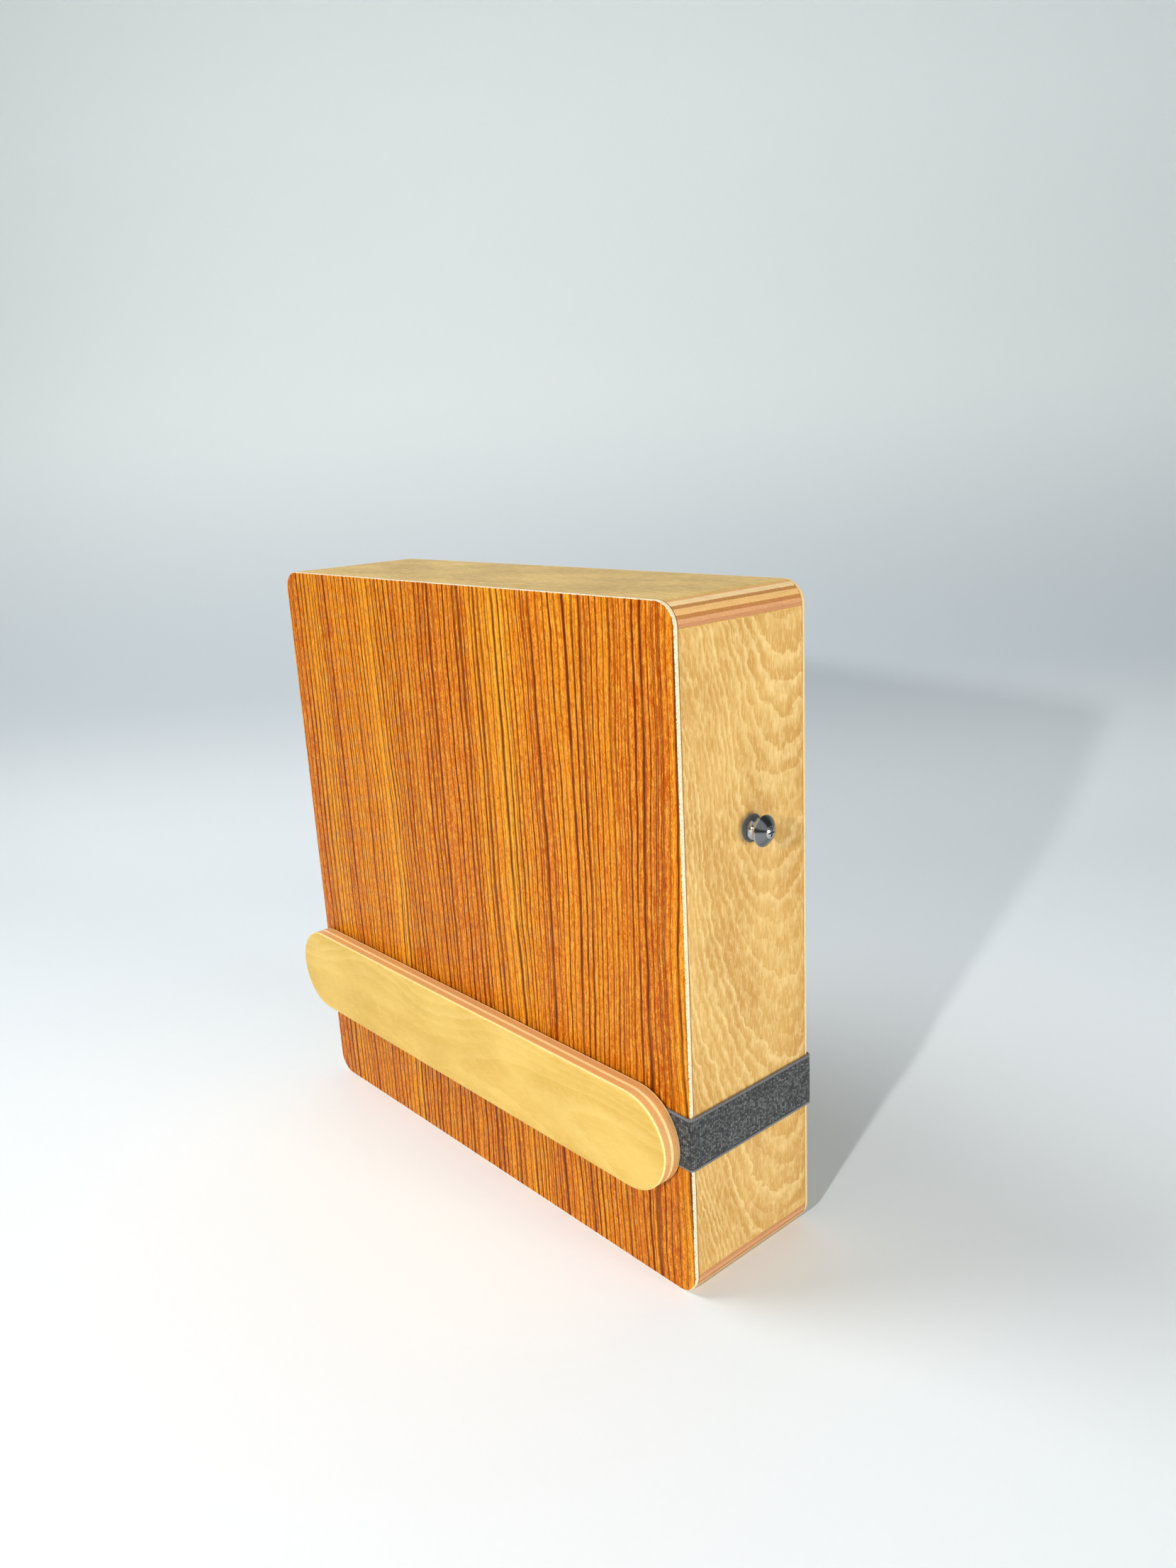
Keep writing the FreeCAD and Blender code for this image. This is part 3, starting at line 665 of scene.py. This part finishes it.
def wound_string(side, lean, material):
    """One wound string from its ball end down the striking plate and into its carrier."""
    string_low, string_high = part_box(f"snare_strings_{side}")
    ball_low, ball_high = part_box(f"string_ball_ends_{side}")
    carrier_low, carrier_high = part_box(f"string_carrier_{side}")
    middle = (carrier_low.x + carrier_high.x) / 2
    line_y = string_low.y + STRING_RADIUS
    ball_radius = (ball_high.z - ball_low.z) / 2
    ball_x = ball_high.x - ball_radius if lean > 0 else ball_low.x + ball_radius
    top = Vector((ball_x, line_y, ball_low.z + ball_radius))
    foot_x = middle + lean * string_foot_offset(side, string_high, middle)
    foot = Vector((foot_x, line_y, (carrier_low.z + carrier_high.z) / 2))
    down = (foot - top).normalized()
    start = top + down * ball_radius
    path = string_path(start, foot, down, string_high.y)

    around = 12
    across = Vector((1, 0, 0))
    points = []
    for i, (at, direction) in enumerate(path):
        side_way = (across - direction * across.dot(direction)).normalized()
        other = direction.cross(side_way)
        radius = STRING_RADIUS * (1.0 if i % 2 else WINDING_WAIST)
        for k in range(around):
            turn = 2 * math.pi * k / around
            points.append(at + (side_way * math.cos(turn) + other * math.sin(turn)) * radius)
    name = f"wound_string_{side}_{'inner' if (lean < 0) == (middle > 0) else 'outer'}"
    string = piece(name, points, tube_faces(len(path), around), material)
    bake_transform(string)
    return string


def felt_profile(outer, thickness):
    """A felt's section, as (radius, height): along the board, round the rim and back above."""
    flat, half, rim_steps = outer - FELT_RIM_ROUND, thickness / 2, 6
    profile = [(FELT_BORE, 0.0)]
    profile += [(share * flat, 0.0) for share in (0.5, 0.7, 0.85)]
    for i in range(rim_steps + 1):
        angle = -math.pi / 2 + math.pi * i / rim_steps
        profile.append((flat + FELT_RIM_ROUND * math.cos(angle), half + half * math.sin(angle)))
    profile += [(share * flat, thickness) for share in (0.92, 0.84, 0.76)]
    profile.append((FELT_BORE, thickness))
    return profile


def felt_washer(side, sign, material):
    """A soft disc with a rounded, slightly ragged rim under the strap button."""
    low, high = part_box(f"strap_felt_{side}")
    board = low.x if sign > 0 else high.x
    centre_y, centre_z = (low.y + high.y) / 2, (low.z + high.z) / 2
    profile = felt_profile((high.z - low.z) / 2, high.x - low.x)
    ragged_from = 5 * MM
    around, count = 96, len(profile)
    generator = np.random.default_rng(7)
    points = []
    for k in range(around):
        turn = 2 * math.pi * k / around
        rag = 1 + FELT_RAG * math.sin(5 * turn) + FELT_RAG * generator.uniform(-1, 1)
        for radius, height in profile:
            r = radius * rag if radius > ragged_from else radius
            points.append((board + sign * height, centre_y + r * math.cos(turn),
                           centre_z + r * math.sin(turn)))
    faces = []
    for k in range(around):
        here, beside = k * count, (k + 1) % around * count
        for i in range(count):
            after = (i + 1) % count
            face = (here + i, here + after, beside + after, beside + i)
            faces.append(face if sign > 0 else face[::-1])
    washer = piece(f"felt_washer_{side}", points, faces, material)
    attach(washer, "box")
    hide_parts(f"strap_felt_{side}")


def dress(node, material):
    """Gives a CAD node its material. Its mesh and place stay as they are."""
    shown = nodes[node]
    shown.data.materials.clear()
    shown.data.materials.append(material)


# ---------------------------------------------------------------- the object

# lowest and highest corners and faces, in millimetres
top_low, top_high = (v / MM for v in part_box("top_board"))
panel_back = (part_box("back_panel")[1] / MM).y
bar_front = (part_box("hold_bar")[0] / MM).y

side_look = FaceLook(
    pale=rgb(252, 222, 154), middle=rgb(226, 180, 104), dark=rgb(204, 152, 76),
    centre=24, bow=0.042, pitch=13, figured=1.0, flecked=1.0,
)
top_look = FaceLook(
    pale=rgb(250, 216, 128), middle=rgb(230, 190, 96), dark=rgb(192, 148, 62),
    centre=-85, bow=0.12, pitch=44, figured=1.0, flecked=1.0,
)
bar_look = FaceLook(
    pale=rgb(244, 214, 132), middle=rgb(230, 194, 102), dark=rgb(212, 172, 78),
    centre=62, bow=0.4, pitch=90, figured=0.5, flecked=0.4,
)
back_look = FaceLook(
    pale=rgb(252, 222, 154), middle=rgb(226, 180, 104), dark=rgb(204, 152, 76),
    centre=18, bow=0.03, pitch=26, figured=0.9, flecked=0.9,
)

frame_plies = [
    (1.0, rgb(230, 172, 98)),
    (1.4, rgb(250, 216, 160)),
    (1.1, rgb(192, 132, 68)),
    (2.2, rgb(244, 192, 122)),
    (1.5, rgb(194, 128, 66)),
    (1.6, rgb(224, 162, 112)),
    (2.2, rgb(206, 142, 94)),
]
bar_plies = [
    (1.25, rgb(254, 232, 156)),
    (3.1, rgb(228, 172, 108)),
    (1.5, rgb(254, 224, 160)),
    (3.2, rgb(218, 160, 98)),
    (0.95, rgb(246, 208, 146)),
]
panel_plies = [
    (0.7, rgb(252, 226, 168)),
    (0.5, rgb(244, 206, 146)),
    (0.8, rgb(252, 226, 168)),
]


def board_seam(p, place):
    """The thin shadow where a frame board meets the striking plate or the back panel."""
    front = p.step(place["y"], top_low.y + 0.12, top_low.y + 0.3, 1.0, 0.0)
    back = p.step(place["y"], top_high.y - 0.3, top_high.y - 0.12)
    return p.times(p.math("MAXIMUM", front, back), 0.8)


def dress_frame():
    """The boards, both plates and the bar."""
    def under_top(p, place):
        return p.math("SUBTRACT", top_high.z, place["z"])

    def over_floor(p, place):
        return place["z"]

    def in_from_side(p, place):
        return p.math("SUBTRACT", top_high.x, p.math("ABSOLUTE", place["x"]))

    def in_from_back(p, place):
        return p.math("SUBTRACT", panel_back, place["y"])

    def in_from_front(p, place):
        return p.add(place["y"], -bar_front)

    dress("top_board", plywood("birch_top", "x", "y", under_top, frame_plies, top_look,
                               3.0, board_seam))
    dress("bottom_board", plywood("birch_bottom", "x", "y", over_floor, frame_plies, top_look,
                                  13.0, board_seam))
    for node, seed in (("left_side_board", 21.0), ("right_side_board", 30.0)):
        dress(node, plywood(f"birch_{node}", "z", "y", in_from_side, frame_plies, side_look,
                            seed, board_seam))
    dress("back_panel", plywood("birch_back", "z", "x", in_from_back, panel_plies, back_look, 40.0))
    dress("hold_bar", plywood("birch_bar", "x", "z", in_from_front, bar_plies, bar_look, 50.0))
    dress("tapa_veneer", striped_veneer())
    dress("tapa_core", cream_core())


def dress_inside():
    """The blocks, dowels and snare inside the box, and the staples behind the bar."""
    spruce = solid_wood("planed_spruce", "y", rgb(232, 204, 152), rgb(204, 158, 98), 0.0)
    beech_x = solid_wood("planed_beech", "x", rgb(214, 168, 120), rgb(190, 138, 92), 0.7)
    beech_z = solid_wood("dowel_beech", "z", rgb(218, 174, 126), rgb(194, 144, 98), 0.6)
    for level in ("top", "bottom"):
        for side in ("left", "right"):
            dress(f"corner_block_{level}_{side}", spruce)
    dress("string_rail", beech_x)
    dress("tension_block", beech_x)
    dress("corner_dowels", beech_z)
    brass = metal("turned_brass", rgb(168, 124, 56), rgb(222, 184, 104), 0.2, 0.42, "x")
    zinc = metal("zinc_plate", rgb(138, 140, 144), rgb(196, 198, 202), 0.22, 0.42)
    steel = metal("string_winding", rgb(120, 120, 122), rgb(196, 196, 196), 0.2, 0.38)
    for side in ("left", "right"):
        dress(f"string_ball_ends_{side}", brass)
        dress(f"string_carrier_{side}", brass)
        dress(f"tension_screw_{side}", zinc)
        dress(f"tension_washer_{side}", zinc)
        strings = [wound_string(side, lean, steel) for lean in (-1, 1)]
        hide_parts(f"snare_strings_{side}")
    dress("band_staples", zinc)


def dress_buttons():
    """The strap buttons with their screws and felt washers."""
    # the head past its rim is painted darker: a painted dark reflection of the surroundings
    dome_from, dome_to = top_high.x + 7.2, top_high.x + 7.8  # just past the rim of the head

    def dark_reflection_on_dome(p, place):
        outward = p.math("ABSOLUTE", place["x"])
        return p.step(outward, dome_from, dome_to, 0.0, 0.85)

    nickel = metal("polished_nickel", rgb(176, 177, 178), rgb(206, 206, 206), 0.1, 0.22, "x",
                   dark_reflection_on_dome)
    screw = metal("bright_screw", rgb(170, 171, 172), rgb(208, 208, 208), 0.12, 0.26, "x")
    soft = felt()
    for side, sign in (("left", -1), ("right", 1)):
        dress(f"strap_button_{side}", nickel)
        dress(f"strap_screw_{side}", screw)
        felt_washer(side, sign, soft)


# ---------------------------------------------------------------- the studio


def toward(azimuth, elevation):
    """The direction from the object to something around it. Azimuth 0 is the front, 90 +X."""
    a, e = math.radians(azimuth), math.radians(elevation)
    return Vector((math.sin(a) * math.cos(e), -math.cos(a) * math.cos(e), math.sin(e)))


def camera():
    """The camera, at the right front corner and turned slightly about its own line of sight."""
    data = bpy.data.cameras.new("camera")
    made = bpy.data.objects.new("camera", data)
    bpy.context.scene.collection.objects.link(made)
    azimuth, roll = math.radians(CAMERA_AZIMUTH), math.radians(CAMERA_ROLL)
    back = toward(CAMERA_AZIMUTH, CAMERA_ELEVATION)
    right = Vector((math.cos(azimuth), math.sin(azimuth), 0))
    up = back.cross(right)
    right, up = (right * math.cos(roll) + up * math.sin(roll),
                 up * math.cos(roll) - right * math.sin(roll))
    turn = Matrix((right, up, back)).transposed().to_4x4()
    made.matrix_world = Matrix.Translation(CAMERA_AT) @ turn
    data.sensor_width = CAMERA_SENSOR
    data.lens = CAMERA_LENS
    data.clip_start, data.clip_end = 0.01, 50
    bpy.context.scene.camera = made


def backdrop():
    """A pale floor that curves up into a wall behind the object."""
    away = -toward(CAMERA_AZIMUTH, 0)
    sideways = Vector((away.y, -away.x, 0))
    profile = [(-FLOOR_REACH, 0.0), (-1.0, 0.0), (0.0, 0.0)]
    curve_steps = 32
    for i in range(curve_steps + 1):
        angle = math.pi / 2 * i / curve_steps
        profile.append((CURVE_START + CURVE_RADIUS * math.sin(angle),
                        CURVE_RADIUS * (1 - math.cos(angle))))
    profile.append((CURVE_START + CURVE_RADIUS, WALL_HEIGHT))
    points, faces = [], []
    for distance, height in profile:
        for side in (-BACKDROP_HALF_WIDTH, BACKDROP_HALF_WIDTH):
            at = away * distance + sideways * side
            points.append((at.x, at.y, height))
    for i in range(len(profile) - 1):
        faces.append((2 * i, 2 * i + 1, 2 * i + 3, 2 * i + 2))
    floor = piece("studio_floor", points, faces, studio_paper())


def lamp(name, azimuth, elevation, distance, size, power, colour, aim=(0, 0, 0.15), spread=180):
    """A round lamp that points at aim from a distance. size and distance are in metres."""
    back = toward(azimuth, elevation)
    data = bpy.data.lights.new(name, "AREA")
    data.shape = "DISK"
    data.size = size
    data.spread = math.radians(spread)
    data.energy = power
    data.color = colour
    made = bpy.data.objects.new(name, data)
    made.location = Vector(aim) + back * distance
    made.rotation_mode = "QUATERNION"
    made.rotation_quaternion = (-back).to_track_quat("-Z", "Y")
    bpy.context.scene.collection.objects.link(made)


def studio():
    """The camera, the backdrop, five lamps and the light of the room."""
    camera()
    backdrop()
    lamp("key", azimuth=24, elevation=20, distance=1.5, size=0.06, power=13.4,
         colour=(1.0, 0.97, 0.92))
    lamp("side", azimuth=100, elevation=2, distance=1.6, size=0.4, power=9.6,
         colour=(1.0, 0.99, 0.96), aim=(0.1, 0, 0.15))
    lamp("left", azimuth=-50, elevation=52, distance=1.8, size=1.0, power=6.2,
         colour=(1.0, 1.0, 1.0), spread=110)
    lamp("over", azimuth=30, elevation=80, distance=1.8, size=1.6, power=3.0,
         colour=(1.0, 0.98, 0.94))
    lamp("card", azimuth=75, elevation=35, distance=2.6, size=2.4, power=8.5,
         colour=(0.94, 0.97, 1.0))
    world = bpy.data.worlds.new("studio_air")
    world.use_nodes = True
    background = world.node_tree.nodes["Background"]
    background.inputs["Color"].default_value = rgb(228, 236, 242)
    background.inputs["Strength"].default_value = 0.12
    bpy.context.scene.world = world
    bpy.context.scene.view_settings.view_transform = "Standard"


dress_frame()
dress_inside()
dress_buttons()
elastic_loop()
studio()
